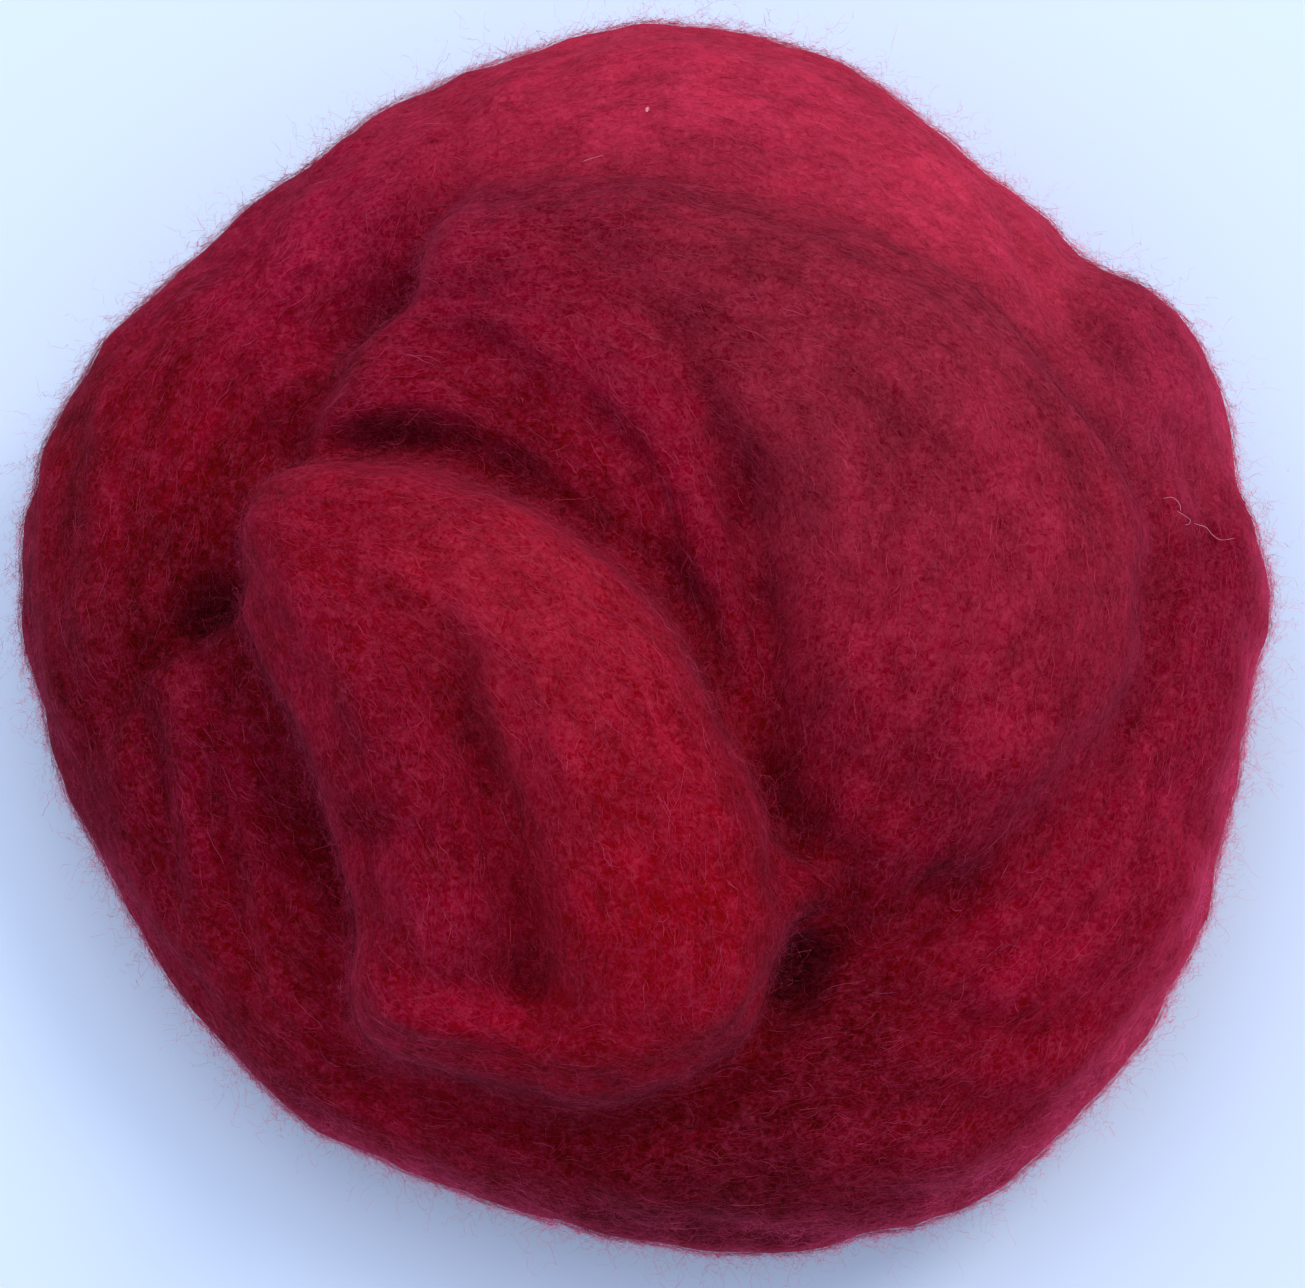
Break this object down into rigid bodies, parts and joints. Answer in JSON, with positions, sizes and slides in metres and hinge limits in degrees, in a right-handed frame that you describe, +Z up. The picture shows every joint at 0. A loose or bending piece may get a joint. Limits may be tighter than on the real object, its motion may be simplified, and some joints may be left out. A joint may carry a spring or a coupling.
{
  "type": "wool roving nest",
  "caption": "Length of dyed wool roving wound into a loose, flattened round nest, with the free end folded and laid over the top.",
  "frame": {"origin": "on the table under the middle of the nest's outline", "axes": "+Z is up, +Y points to the back, where the bright turn lies, and the folded free end lies towards -Y"},
  "size_m": [0.1314, 0.1306, 0.0531],
  "materials": {
    "red_wool": "matte"
  },
  "bodies": {
    "root": {"roving": "red_wool"}
  },
  "joints": []
}
